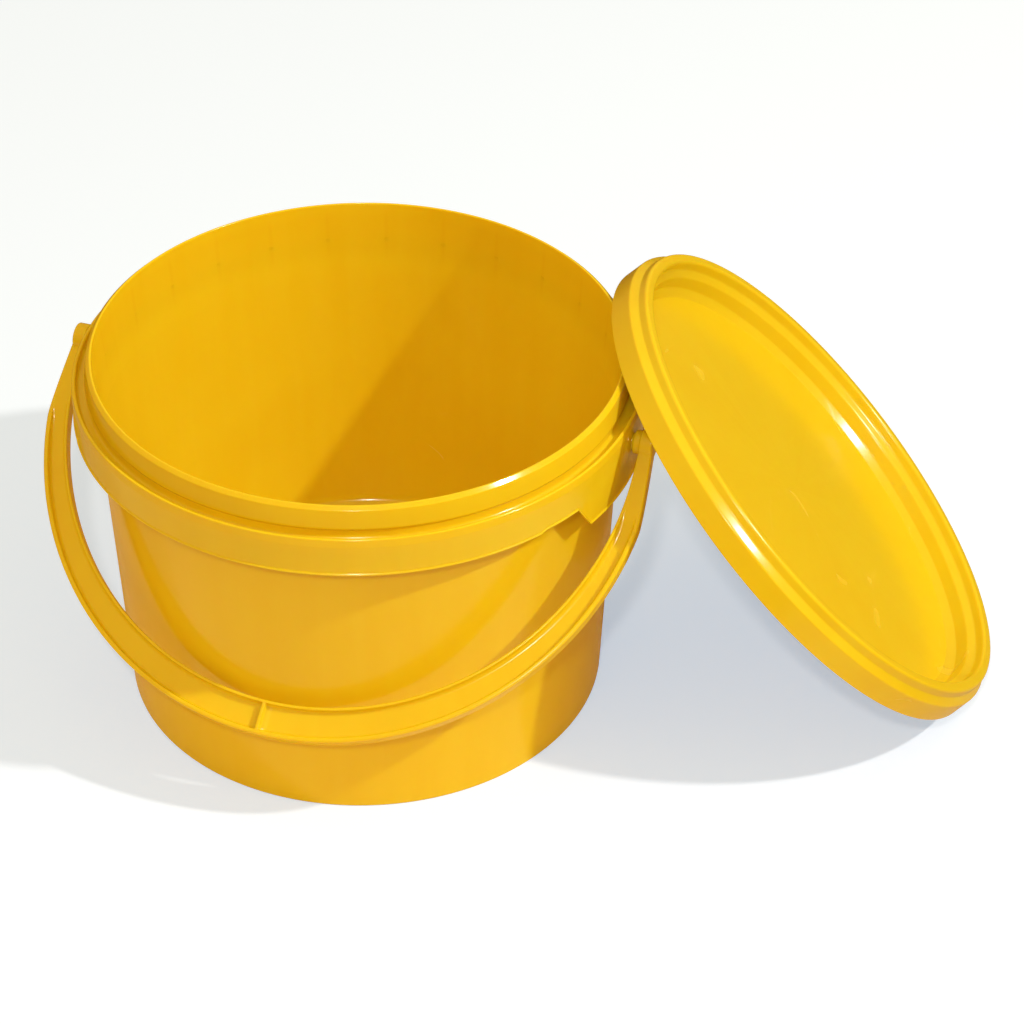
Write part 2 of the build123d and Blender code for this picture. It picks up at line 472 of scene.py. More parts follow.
class PlasticEffects:
    """The effects that the three mouldings share, each a shader group made once."""

    def __init__(self) -> None:
        """Build the groups."""
        self.flow = self._flow_marks()
        self.scuffs = self._scuffs()
        self.peel = self._moulded_peel()
        self.ribs = self._rib_shadows()

    def _flow_marks(self) -> Tree:
        """Streaks that run out from the gate and up the wall, seamless round the axis.

        Returns:
            The group, with a Streaks output and a slower Clouds output.
        """
        group = ShaderGroup(
            "moulding_flow_marks",
            (GroupSocket("Vector", "NodeSocketVector"), GroupSocket("Round", value=5.0),
             GroupSocket("Along", value=6.0)),
            ("Streaks", "Clouds"),
        )
        x, y, z, radius = group.around(soften=1e-6)
        merge = group.tree.nodes.new("ShaderNodeCombineXYZ")
        for axis, part in (("X", x), ("Y", y)):
            bearing = group.math("DIVIDE", part, radius)
            join(group.tree, group.product(bearing, group.given["Round"]), merge.inputs[axis])
        run = group.math("ADD", radius, z)
        join(group.tree, group.product(run, group.given["Along"]), merge.inputs["Z"])
        streaks = group.noise(merge.outputs[0], scale=2.2, detail=4.0, distortion=0.35)
        join(group.tree, group.spread(streaks, 0.32, 0.68), group.result["Streaks"])
        clouds = group.noise(group.given["Vector"], scale=13.0, detail=2.0, distortion=0.6)
        join(group.tree, group.spread(clouds, 0.3, 0.7), group.result["Clouds"])
        return group.tree

    def _scuffs(self) -> Tree:
        """Fine scratches that lie in patches, as handling leaves them.

        Returns:
            The group, with a Scratches output.
        """
        group = ShaderGroup(
            "handling_scuffs",
            (GroupSocket("Vector", "NodeSocketVector"), GroupSocket("Scale", value=26.0),
             GroupSocket("Patches", value=0.55)),
            ("Scratches",),
        )
        drawn = group.tree.nodes.new("ShaderNodeVectorMath")
        drawn.operation = "MULTIPLY"
        join(group.tree, group.given["Vector"], drawn.inputs[0])
        join(group.tree, (1.0, 0.3, 1.0), drawn.inputs[1])
        lines = group.noise(drawn.outputs[0], group.given["Scale"], detail=1.0, distortion=0.3)
        thin = group.spread(group.math("ABSOLUTE", group.math("SUBTRACT", lines, 0.5)), 0.012, 0.0)
        breaks = group.spread(group.noise(group.given["Vector"], scale=64.0, detail=1.0), 0.5, 0.64)
        patch = group.noise(group.given["Vector"], scale=14.0, detail=2.0)
        place = group.spread(group.math("SUBTRACT", patch, group.given["Patches"]), 0.0, 0.08)
        join(group.tree, group.product(thin, breaks, place), group.result["Scratches"])
        return group.tree

    def _moulded_peel(self) -> Tree:
        """The faint waviness of a moulded gloss surface.

        Returns:
            The group, with a Height output.
        """
        group = ShaderGroup(
            "moulded_peel",
            (GroupSocket("Vector", "NodeSocketVector"), GroupSocket("Scale", value=240.0)),
            ("Height",),
        )
        coarse = group.noise(group.given["Vector"], group.given["Scale"], detail=1.0)
        slow = group.noise(group.given["Vector"], scale=42.0, detail=1.0)
        height = group.math("ADD", group.product(coarse, 0.25), group.product(slow, 0.75))
        join(group.tree, height, group.result["Height"])
        return group.tree

    def _rib_shadows(self) -> Tree:
        """Shade and lines painted on the inside of the thin wall, for the band and the ribs behind it.

        Returns:
            The group, with a Lines output.
        """
        group = ShaderGroup(
            "rib_shadows",
            (GroupSocket("Vector", "NodeSocketVector"), GroupSocket("Start"), GroupSocket("Step", value=0.2),
             GroupSocket("Count", value=13.0), GroupSocket("Low"), GroupSocket("High", value=0.1),
             GroupSocket("Radius", value=0.1)),
            ("PaintedShade",),
        )
        zone_depth = 0.55
        x, y, z, radius = group.around()
        bearing = group.math("SUBTRACT", group.math("ARCTAN2", y, x), group.given["Start"])
        place = group.math("DIVIDE", group.math("FLOORED_MODULO", bearing, math.pi), group.given["Step"])
        nearest = group.math("ROUND", place)
        aside = group.math("ABSOLUTE", group.math("SUBTRACT", place, nearest))
        line = group.spread(group.product(aside, group.given["Step"], radius), 0.0012, 0.0002)
        above = group.spread(group.math("SUBTRACT", z, group.given["Low"]), -0.002, 0.004)
        below = group.spread(group.math("SUBTRACT", group.given["High"], z), -0.001, 0.002)
        inside = group.math("LESS_THAN", radius, group.given["Radius"])
        within = group.math("LESS_THAN", nearest, group.math("SUBTRACT", group.given["Count"], 0.5))
        depth = group.math("ADD", group.product(line, within, 1 - zone_depth), zone_depth)
        join(group.tree, group.product(above, below, inside, depth), group.result["PaintedShade"])
        return group.tree


@dataclass(frozen=True)
class YellowPlastic:
    """Glossy, slightly translucent yellow polypropylene.

    Args:
        name: the material's name.
        main: the colour of the body of the plastic, linear.
        thin: the paler colour along its flow marks.
        deep: the deeper colour of its clouds.
        worn: the pale colour of scratches.
        shade: the colour of the painted shade over the band and the ribs behind the wall.
        streak_share, worn_share, shade_share: how much of those colours shows at most.
        gloss: the roughness where nothing has rubbed it.
        rubbed, dulled: the roughness that scratches and clouds add.
        wave, score: the relief of the moulded waviness and of the scratches.
        bump_strength, bump_distance: how the relief turns the surface, the distance in metres.
        round: how fast the flow marks change round the axis.
        along: how fast they change along the flow.
        patches: how little of the surface is scuffed, from 0 to 1.
        ior, specular: the plastic's reflection.
        scatter, scatter_radius, scatter_scale: how light spreads inside it, the scale in metres.
        place: what turns the frame's coordinates to the moulding's own axis.
        ribs: inputs of the rib shadows by name, for a thin wall with ribs behind it.
    """

    name: str
    main: Colour
    thin: Colour
    deep: Colour
    worn: Colour = (0.95, 0.72, 0.08)
    shade: Colour = (0.72, 0.34, 0.003)
    streak_share: float = 0.3
    worn_share: float = 0.3
    shade_share: float = 0.2
    gloss: float = 0.11
    rubbed: float = 0.2
    dulled: float = 0.06
    wave: float = 0.5
    score: float = -0.06
    bump_strength: float = 0.35
    bump_distance: float = 0.0004
    round: float = 5.0
    along: float = 6.0
    patches: float = 0.62
    ior: float = 1.49
    specular: float = 0.5
    scatter: float = 0.55
    scatter_radius: Colour = (1.0, 0.65, 0.06)
    scatter_scale: float = 0.002
    place: Matrix = field(default_factory=Matrix)
    ribs: dict[str, float] = field(default_factory=dict)

    def build(self, effects: PlasticEffects) -> Material:
        """Make the material.

        Args:
            effects: the shader groups that it uses.

        Returns:
            The finished material.
        """
        material = bpy.data.materials.new(self.name)
        material.use_nodes = True
        tree = material.node_tree
        shader = tree.nodes["Principled BSDF"]
        coordinates = tree.nodes.new("ShaderNodeTexCoord").outputs["Object"]
        mapping = tree.nodes.new("ShaderNodeMapping")
        mapping.inputs["Location"].default_value = self.place.to_translation()
        mapping.inputs["Rotation"].default_value = self.place.to_euler()
        join(tree, coordinates, mapping.inputs["Vector"])
        own = mapping.outputs["Vector"]

        flow = self._group(tree, effects.flow, own, {"Round": self.round, "Along": self.along})
        scuffs = self._group(tree, effects.scuffs, own, {"Patches": self.patches})
        peel = self._group(tree, effects.peel, own, {})

        clouds, scratches = flow.outputs["Clouds"], scuffs.outputs["Scratches"]
        colour = mixed(tree, clouds, (*self.main, 1), (*self.deep, 1))
        colour = mixed(tree, flow.outputs["Streaks"], colour, (*self.thin, 1), self.streak_share)
        colour = mixed(tree, scratches, colour, (*self.worn, 1), self.worn_share)
        if self.ribs:
            # Painted shade: darker lines, and a fainter darkening all round inside the mouth, where the band
            # and the ribs stand behind the thin wall.
            shadows = self._group(tree, effects.ribs, own, self.ribs)
            colour = mixed(tree, shadows.outputs["PaintedShade"], colour, (*self.shade, 1), self.shade_share)
        join(tree, colour, shader.inputs["Base Color"])

        rubbed = math_node(tree, "MULTIPLY", scratches, self.rubbed)
        dulled = math_node(tree, "MULTIPLY", clouds, self.dulled)
        rough = math_node(tree, "ADD", math_node(tree, "ADD", rubbed, dulled), self.gloss)
        join(tree, rough, shader.inputs["Roughness"])

        waved = math_node(tree, "MULTIPLY", peel.outputs["Height"], self.wave)
        scored = math_node(tree, "MULTIPLY", scratches, self.score)
        bump = tree.nodes.new("ShaderNodeBump")
        bump.inputs["Strength"].default_value = self.bump_strength
        bump.inputs["Distance"].default_value = self.bump_distance
        join(tree, math_node(tree, "ADD", waved, scored), bump.inputs["Height"])
        join(tree, bump.outputs["Normal"], shader.inputs["Normal"])

        for name, value in (
            ("IOR", self.ior), ("Specular IOR Level", self.specular), ("Subsurface Weight", self.scatter),
            ("Subsurface Radius", self.scatter_radius), ("Subsurface Scale", self.scatter_scale),
        ):
            shader.inputs[name].default_value = value
        return material

    @staticmethod
    def _group(tree: Tree, group: Tree, vector: Socket, values: dict[str, float]) -> bpy.types.Node:
        """Place a shader group with its own values.

        Args:
            tree: the material's tree.
            group: the group to place.
            vector: the coordinates that it reads.
            values: its inputs by name.

        Returns:
            The group's node.
        """
        node = tree.nodes.new("ShaderNodeGroup")
        node.node_tree = group
        join(tree, vector, node.inputs["Vector"])
        for name, value in values.items():
            node.inputs[name].default_value = value
        return node


class FrameFacts:
    """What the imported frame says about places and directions, in metres and radians."""

    def __init__(self) -> None:
        """Read the joints and the boxes of the nodes."""
        joints = {joint["name"]: joint for joint in frame["joints"]}
        swing = joints["handle_swing"]
        self.pivot_centre = Vector(swing["pos_m"])
        self.pivot_axis = -Vector(swing["axis"]).normalized()
        self.ear_angle = math.atan2(self.pivot_axis.y, self.pivot_axis.x)
        self.hang = math.radians(swing["range_deg"][1] - 180) / 2
        self.front = Vector((self.pivot_axis.y, -self.pivot_axis.x, 0))
        self.lid_normal = Vector(joints["lid_lift"]["axis"]).normalized()
        self.lean = math.asin(self.lid_normal.x)
        self.pail_low, self.pail_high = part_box("bucket")
        self.lid_low, self.lid_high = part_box("lid")

    def strap_place(self) -> Matrix:
        """Where the strap's own plane lies as the handle hangs.

        Returns:
            The place: X to the left pin, Y away from the pins, Z out of the channel.
        """
        up = Vector((0, 0, 1))
        down = self.front * math.cos(self.hang) - up * math.sin(self.hang)
        outward = self.front * math.sin(self.hang) + up * math.cos(self.hang)
        place = Matrix((-self.pivot_axis, down, outward)).transposed().to_4x4()
        place.translation = self.pivot_centre
        return place


@dataclass
class Pail:
    """The pail: foot, base, wall, snap rim, and the band with its ears and ribs. Sizes in millimetres."""

    band_radius: float
    height: float
    ear_angle: float
    pivot_height: float
    base_radius: float = 86.45
    wall: float = 1.4
    base_panel: float = 1.4
    foot_height: float = 3.0
    foot_wall: float = 1.85
    gate_radius: float = 9.0
    gate_recess: float = 0.4
    rim_wall: float = 2.0
    lip_setback: float = 0.7
    lip_slope: float = 1.26
    lip_slope_drop: float = 1.2
    bead_stand: float = 0.9
    bead_drop: float = 7.9
    bead_under: float = 1.3
    mouth_drop: float = 3.5
    mouth_draft: float = 0.15
    mouth_blend_drop: float = 29.0
    collar_step: float = 2.0
    groove_width: float = 3.9
    groove_drop: float = 13.1
    groove_fill: float = 0.9
    web: float = 1.4
    upstand_wall: float = 1.8
    upstand_drop: float = 8.1
    upstand_settle: float = 0.9
    upstand_bevel: float = 0.5
    upstand_bevel_height: float = 3.0
    band_wall: float = 1.3
    band_drop: float = 23.5
    band_waist: float = 0.4
    edge_bead: float = 0.5
    edge_step: float = 0.8
    edge_step_angle: float = 33.0
    edge_step_run: float = 0.12
    apron_depth: float = 9.1
    apron_angle_top: float = 23.0
    apron_angle_bottom: float = 18.9
    apron_corner: float = 0.25
    ribs_per_side: int = 13
    rib_thick: float = 1.2
    rib_setback: float = 1.5
    rib_clear_angle: float = 8.5
    hole_radius: float = 3.05
    hole_steps: int = 48

    @property
    def groove_outer(self) -> float:
        """Outer side of the groove that takes the lid's skirt."""
        return self.band_radius - self.upstand_wall

    @property
    def collar_radius(self) -> float:
        """Outside of the collar."""
        return self.groove_outer - self.groove_width

    @property
    def mouth_radius(self) -> float:
        """Inside of the mouth."""
        return self.collar_radius - self.rim_wall

    @property
    def lip_radius(self) -> float:
        """Outside of the lip."""
        return self.collar_radius - self.lip_setback

    @property
    def bead_radius(self) -> float:
        """Outside of the snap bead."""
        return self.collar_radius + self.bead_stand

    @property
    def web_bottom(self) -> float:
        """Underside of the groove's floor."""
        return self.height - self.groove_drop - self.web

    @property
    def band_bottom(self) -> float:
        """Lower edge of the band, away from the ears."""
        return self.height - self.band_drop

    @property
    def rib_step(self) -> float:
        """Angle between two ribs, in radians."""
        return math.radians(180 - 2 * self.rib_clear_angle) / (self.ribs_per_side - 1)

    def wall_outside(self, height: float) -> float:
        """Outside radius of the tapered wall at a height."""
        top = self.collar_radius - self.collar_step
        return self.base_radius + (top - self.base_radius) * height / self.web_bottom

    def outline(self) -> list[Corner]:
        """Draw the half section, from the underside of the base round to its top.

        Returns:
            The corners of the section.
        """
        base_top = self.foot_height + self.base_panel
        foot_inner = self.base_radius - self.foot_wall
        gate_top = self.foot_height + self.gate_recess
        web_top = self.height - self.groove_drop + self.groove_fill
        upstand_top = self.height - self.upstand_drop - self.upstand_settle
        bead = self.height - self.bead_drop
        blend = self.height - self.mouth_blend_drop
        band_inner = self.band_radius - self.band_wall
        bead_top = self.band_bottom + self.edge_bead
        return [
            Corner(0, gate_top),
            Corner(self.gate_radius, gate_top, 0.25),
            Corner(self.gate_radius, self.foot_height, 0.25),
            Corner(foot_inner, self.foot_height, 0.8),
            Corner(foot_inner, 0, 0.45),
            Corner(self.base_radius, 0, 0.8),
            Corner(self.wall_outside(self.web_bottom), self.web_bottom, 0.7),
            Corner(band_inner, self.web_bottom, 0.5),
            Corner(band_inner, self.band_bottom, 0.35, True),
            Corner(self.band_radius, self.band_bottom, 0.2, True),
            Corner(self.band_radius, bead_top, 0.15, True),
            Corner(self.band_radius - self.band_waist, bead_top + self.band_waist, 1.0, True),
            Corner(self.band_radius - self.band_waist / 2, upstand_top - self.upstand_bevel_height, 1.4),
            Corner(self.band_radius - self.upstand_bevel, upstand_top, 0.5),
            Corner(self.groove_outer, upstand_top, 0.8),
            Corner(self.groove_outer, web_top, 1.2),
            Corner(self.collar_radius, web_top, 1.2),
            Corner(self.collar_radius, bead - self.bead_under, 0.5),
            Corner(self.bead_radius, bead, 0.6),
            Corner(self.lip_radius + self.lip_slope / 2, self.height - self.lip_slope_drop, 0.5),
            Corner(self.lip_radius - self.lip_slope / 2, self.height, 0.3),
            Corner(self.mouth_radius, self.height, 0.4),
            Corner(self.mouth_radius - self.mouth_draft, self.height - self.mouth_drop, 5.0),
            Corner(self.wall_outside(blend) - self.wall, blend, 60.0),
            Corner(self.wall_outside(base_top) - self.wall, base_top, 4.0),
            Corner(0, base_top),
        ]

    def edge_lift(self, angle: float) -> float:
        """How far the band's edge stands above its plain level at an angle.

        Args:
            angle: the angle round the pail, in radians.

        Returns:
            The rise in millimetres, below zero on the ears.
        """
        away = abs((math.degrees(angle - self.ear_angle) + 90) % 180 - 90)
        if away <= self.apron_angle_bottom:
            return -self.apron_depth
        if away < self.apron_angle_top:
            share = (away - self.apron_angle_bottom) / (self.apron_angle_top - self.apron_angle_bottom)
            return -self.apron_depth + share * (self.apron_depth + self.edge_step)
        if away <= self.edge_step_angle:
            return self.edge_step
        return 0.0

    def held_angles(self) -> list[float]:
        """Angles where the band's edge changes, which the turned mesh has to hold.

        Returns:
            The angles in radians.
        """
        marks = [self.edge_step_angle, self.edge_step_angle + self.edge_step_run]
        for corner in (self.apron_angle_bottom, self.apron_angle_top):
            marks += [corner - self.apron_corner, corner, corner + self.apron_corner]
        return [
            self.ear_angle + math.radians(half_turn + sense * mark)
            for half_turn in (0, 180) for sense in (1, -1) for mark in marks
        ]

    def rib_marks(self) -> dict[str, float]:
        """Where the painted shade of the band and the ribs goes, its lines from the foot of the ribs past
        their tops to the mouth.

        Returns:
            The inputs by name, in metres and radians.
        """
        return {
            "Start": self.ear_angle + math.radians(self.rib_clear_angle),
            "Step": self.rib_step,
            "Count": self.ribs_per_side,
            "Low": (self.band_bottom + self.rib_setback) * MM,
            "High": (self.height - self.mouth_drop) * MM,
            "Radius": (self.mouth_radius + self.mouth_draft) * MM,
        }

    def build_shell(self) -> Piece:
        """Make the pail in one piece, with the two pin holes cut.

        Returns:
            The pail's object.
        """
        shell = turned(rounded(self.outline()), turn_steps(self.held_angles()), self.edge_lift)
        pail = mesh_object("pail", shell)
        for ear in Ear:
            cutter = bmesh.new()
            bmesh.ops.create_cone(
                cutter, cap_ends=True, segments=self.hole_steps, depth=6 * self.band_wall * MM,
                radius1=self.hole_radius * MM, radius2=self.hole_radius * MM,
            )
            turn = Matrix.Rotation(self.ear_angle, 4, "Z") @ Matrix.Rotation(math.pi / 2, 4, "Y")
            away = ear.value * (self.band_radius - self.band_wall / 2)
            place = Matrix.Translation((
                away * math.cos(self.ear_angle) * MM,
                away * math.sin(self.ear_angle) * MM,
                self.pivot_height * MM,
            ))
            combine(pail, mesh_object("pin_hole", cutter, place @ turn), ShellUse.CUT)
        return flat_shading(pail)

    def build_ribs(self, material: Material) -> list[Piece]:
        """Make the ribs between the wall and the band, on both sides of the ears.

        Args:
            material: the finish of the ribs.

        Returns:
            One object for the front ribs and one for the back ribs.
        """
        depth = self.web_bottom - self.band_bottom - self.rib_setback
        inner = self.wall_outside(self.web_bottom - depth) - self.wall / 2
        outer = self.band_radius - self.band_wall / 2
        tree = rib_ring_tree(material)
        ribs = []
        sides = {"pail_ribs_back": self.ear_angle, "pail_ribs_front": self.ear_angle + math.pi}
        for name, start in sides.items():
            values = {
                "Count": self.ribs_per_side,
                "Radius": (inner + outer) / 2 * MM,
                "Height": (self.web_bottom - depth / 2) * MM,
                "Size": ((outer - inner) * MM, self.rib_thick * MM, (depth + self.web / 2) * MM),
                "Start": start + math.radians(self.rib_clear_angle),
                "Step": self.rib_step,
            }
            ribs.append(grown(name, tree, values))
        return ribs


def rib_ring_tree(material: Material) -> Tree:
    """Build the geometry nodes that set boxes round an axis.

    Args:
        material: the finish of the boxes.

    Returns:
        The tree, with its sizes as named inputs.
    """
    tree = bpy.data.node_groups.new("rib_ring", "GeometryNodeTree")
    for name, kind in (
        ("Count", "NodeSocketInt"), ("Radius", "NodeSocketFloat"), ("Height", "NodeSocketFloat"),
        ("Size", "NodeSocketVector"), ("Start", "NodeSocketFloat"), ("Step", "NodeSocketFloat"),
    ):
        tree.interface.new_socket(name, in_out="INPUT", socket_type=kind)
    tree.interface.new_socket("Geometry", in_out="OUTPUT", socket_type="NodeSocketGeometry")
    given = tree.nodes.new("NodeGroupInput").outputs
    result = tree.nodes.new("NodeGroupOutput").inputs

    index = tree.nodes.new("GeometryNodeInputIndex").outputs[0]
    angle = math_node(tree, "ADD", math_node(tree, "MULTIPLY", index, given["Step"]), given["Start"])
    spot = tree.nodes.new("ShaderNodeCombineXYZ")
    for axis, operation in (("X", "COSINE"), ("Y", "SINE")):
        reach = math_node(tree, "MULTIPLY", math_node(tree, operation, angle), given["Radius"])
        join(tree, reach, spot.inputs[axis])
    join(tree, given["Height"], spot.inputs["Z"])
    turn = tree.nodes.new("ShaderNodeCombineXYZ")
    join(tree, angle, turn.inputs["Z"])
    points = tree.nodes.new("GeometryNodePoints")
    join(tree, given["Count"], points.inputs["Count"])
    join(tree, spot.outputs[0], points.inputs["Position"])
    box = tree.nodes.new("GeometryNodeMeshCube")
    join(tree, given["Size"], box.inputs["Size"])
    place = tree.nodes.new("GeometryNodeInstanceOnPoints")
    join(tree, points.outputs[0], place.inputs["Points"])
    join(tree, box.outputs["Mesh"], place.inputs["Instance"])
    join(tree, turn.outputs[0], place.inputs["Rotation"])
    real = tree.nodes.new("GeometryNodeRealizeInstances")
    join(tree, place.outputs[0], real.inputs[0])
    dress = tree.nodes.new("GeometryNodeSetMaterial")
    join(tree, real.outputs[0], dress.inputs["Geometry"])
    dress.inputs["Material"].default_value = material
    join(tree, dress.outputs[0], result["Geometry"])
    return tree


def grown(name: str, tree: Tree, values: dict[str, object]) -> Piece:
    """Run a geometry node tree and keep its result as a plain mesh.

    Args:
        name: the piece's name.
        tree: the tree to run.
        values: its inputs by name.

    Returns:
        The piece.
    """
    piece = bpy.data.objects.new(name, bpy.data.meshes.new(name))
    bpy.context.scene.collection.objects.link(piece)
    modifier = piece.modifiers.new(tree.name, "NODES")
    modifier.node_group = tree
    for item in tree.interface.items_tree:
        if item.in_out == "INPUT":
            modifier[item.identifier] = values[item.name]
    return settle(piece)


@dataclass
class StrapHandle:
    """The strap handle: a bow with a channel down its face, and a pin at each end. Sizes in millimetres."""

    band_radius: float
    band_wall: float
    pin_radius: float = 3.0
    head_radius: float = 4.2
    head_tip_radius: float = 2.4
    head_length: float = 2.2
    head_gap: float = 0.4
    shoulder_radius: float = 4.2
    shoulder_gap: float = 0.4
    boss_radius: float = 5.0
    boss_length: float = 4.5
    strap_gap: float = 2.8
    strap_side: float = 7.1
    strap_front: float = 12.2
    strap_thick: float = 5.0
    strap_web: float = 2.4
    inner_flange: float = 1.0
    outer_flange: float = 1.6
    floor_draft: float = 0.25
    inner_fillet: float = 2.2
    outer_fillet: float = 1.0
    arm_length: float = 12.0
    arm_taper: float = 27.0
    arm_steps: int = 14
    bow_steps: int = 150
    bow_crowd: float = 0.4
    pocket_start: float = 30.0
    pocket_fade: float = 18.0
    cross_rib: float = 1.2
    cross_rib_offset: float = 3.0
    cross_rib_draft: float = 0.3
    edge_round: float = 0.4
    outer_round: float = 0.8
    pin_steps: int = 64

    @property
    def inner(self) -> float:
        """Inside radius of the bow."""
        return self.band_radius + self.strap_gap

    @property
    def outer(self) -> float:
        """Outside radius of the bow."""
        return self.inner + self.strap_side

    @property
    def arm_end(self) -> float:
        """Angle of the bow where the channel begins, in radians."""
        return math.asin((self.pocket_start - self.arm_length) / self.inner)

    def inner_point(self, angle: float) -> Vector:
        """A point on the inside of the bow, by its angle from the left arm, in the strap's plane."""
        return Vector((self.inner * math.cos(angle), self.arm_length + self.inner * math.sin(angle)))

    def outer_point(self, angle: float) -> Vector:
        """Find the point outside an inner point, on a circle that is set further from the pins.

        Args:
            angle: the inner point's angle from the left arm.

        Returns:
            The point in the strap's plane.
        """
        shift = self.strap_front - self.strap_side
        across = math.sqrt(self.outer**2 - (shift * math.cos(angle)) ** 2)
        radius = shift * math.sin(angle) + across
        return Vector((radius * math.cos(angle), self.arm_length + radius * math.sin(angle)))

    def arm(self) -> list[tuple[Vector, Vector]]:
        """Stations up one arm, from the pin to where the channel begins.

        Returns:
            Pairs of inner and outer points in the strap's plane.
        """
        start = Vector((self.inner + self.boss_length, 0))
        end = self.outer_point(self.arm_end)
        taper_angle = math.asin((self.arm_taper - self.arm_length) / self.outer)
        bend = self.outer_point(taper_angle)
        stations = []
        for index in range(self.arm_steps):
            share = index / self.arm_steps
            travel = share * (self.arm_length + self.inner * self.arm_end)
            inner = Vector((self.inner, travel))
            if travel > self.arm_length:
                inner = self.inner_point((travel - self.arm_length) / self.inner)
            outer = start.lerp(bend, share).lerp(bend.lerp(end, share), share)
            stations.append((inner, outer))
        return stations

    def stations(self) -> list[tuple[Vector, Vector, float]]:
        """Stations along the whole strap.

        Returns:
            Inner point, outer point, and the share of the channel's depth that is open there.
        """
        end = self.arm_end
        rib_angle = math.pi / 2 - self.cross_rib_offset / self.inner
        rib_half = self.cross_rib / 2
        rib = {}
        for sense in (1, -1):
            for aside, share in (
                (rib_half - self.cross_rib_draft / 2, 0.0),
                (rib_half, 0.12),
                (rib_half + self.cross_rib_draft, 1.0),
            ):
                rib[rib_angle + sense * aside / self.inner] = share
        marks = [*rib, end, math.pi - end]
        even = [end + (math.pi - 2 * end) * index / self.bow_steps for index in range(self.bow_steps + 1)]
        crowd = self.bow_crowd * (even[1] - even[0])
        bow = sorted(marks + [angle for angle in even if all(abs(angle - mark) > crowd for mark in marks)])
        arm = [(inner, outer, self.open_share(inner.y)) for inner, outer in self.arm()]
        middle = []
        for angle in bow:
            inner = self.inner_point(angle)
            middle.append((inner, self.outer_point(angle), rib.get(angle, self.open_share(inner.y))))
        flip = Vector((-1, 1))
        return arm + middle + [(inner * flip, outer * flip, share) for inner, outer, share in reversed(arm)]

    def open_share(self, along: float) -> float:
        """Tell how far the channel has faded in at a distance from the pins.

        Args:
            along: the distance from the pins.

        Returns:
            The share of the channel's depth that is open.
        """
        share = (along - self.pocket_start) / self.pocket_fade + 0.5
        share = min(max(share, 0.0), 1.0)
        return share * share * (3 - 2 * share)

    def section(self, width: float, share: float) -> list[tuple[float, float]]:
        """Draw the strap's section, from the middle of its back round to there.

        Args:
            width: the strap's width there.
            share: the share of the channel's depth that is open.

        Returns:
            Offsets from the inner side and levels, as many at every station.
        """
        half = self.strap_thick / 2
        floor = self.strap_web - half
        middle = width / 2
        points = round_corners([
            Corner(middle, -half),
            Corner(0, -half, self.edge_round),
            Corner(0, half, self.edge_round),
            Corner(self.inner_flange, half, self.edge_round),
            Corner(self.inner_flange + self.floor_draft, floor, self.inner_fillet),
            Corner(width - self.outer_flange - self.floor_draft, floor, self.outer_fillet),
            Corner(width - self.outer_flange, half, self.edge_round),
            Corner(width, half, self.outer_round),
            Corner(width, -half, self.edge_round),
            Corner(middle, -half),
        ])
        drawn = []
        for point in points[:-1]:
            level = point.height
            inside = self.edge_round < point.radius < width - self.outer_round
            if inside and level > floor - SAME_LEVEL:
                level = half - share * (half - level)
            drawn.append((point.radius, level))
        return drawn

    def build_strap(self) -> Shell:
        """Make the strap as one closed shell, with its channel, in its own plane.

        Returns:
            The shell in metres: X to the left pin, Y away from the pins, Z out of the channel.
        """
        shell = bmesh.new()
        rings = []
        for inner, outer, share in self.stations():
            across = (outer - inner).normalized()
            ring = []
            for offset, level in self.section((outer - inner).length, share):
                spot = inner + across * offset
                ring.append(shell.verts.new((spot.x * MM, spot.y * MM, level * MM)))
            rings.append(ring)
        for left, right in zip(rings, rings[1:]):
            for index in range(len(left)):
                shell.faces.new((left[index - 1], right[index - 1], right[index], left[index]))
        for ring in (rings[0], rings[-1]):
            shell.faces.new(ring)
        bmesh.ops.recalc_face_normals(shell, faces=shell.faces)
        return shell

    def build_pin(self, ear: Ear) -> Shell:
        """Turn one boss, shoulder, pin and snap head.

        Args:
            ear: which end of the handle it is for.

        Returns:
            The shell in metres, in the strap's own plane.
        """
        band_inner = self.band_radius - self.band_wall
        head_back = math.sqrt(band_inner**2 - self.head_radius**2) - self.head_gap
        head_tip = head_back - self.head_length
        shoulder = self.band_radius + self.shoulder_gap
        boss_outer = self.inner + self.boss_length
        outline = rounded([
            Corner(0, head_tip),
            Corner(self.head_tip_radius, head_tip, 0.4),
            Corner(self.head_radius, head_back, 0.3),
            Corner(self.pin_radius, head_back),
            Corner(self.pin_radius, shoulder),
            Corner(self.shoulder_radius, shoulder, 0.25),
            Corner(self.shoulder_radius, self.inner),
            Corner(self.boss_radius, self.inner, 0.4),
            Corner(self.boss_radius, boss_outer, 0.6),
            Corner(0, boss_outer),
        ])
        steps = [math.tau * index / self.pin_steps for index in range(self.pin_steps)]
        shell = turned(outline, steps)
        shell.transform(Matrix.Rotation(-ear.value * math.pi / 2, 4, "Y"))
        return shell

    def build(self, place: Matrix) -> Piece:
        """Make the whole handle.

        Args:
            place: the strap's plane in the frame.

        Returns:
            The handle's object.
        """
        handle = mesh_object("strap_handle", self.build_strap())
        for ear in Ear:
            combine(handle, mesh_object("pin", self.build_pin(ear)), ShellUse.JOIN)
        handle.data.transform(place)
        return flat_shading(handle)


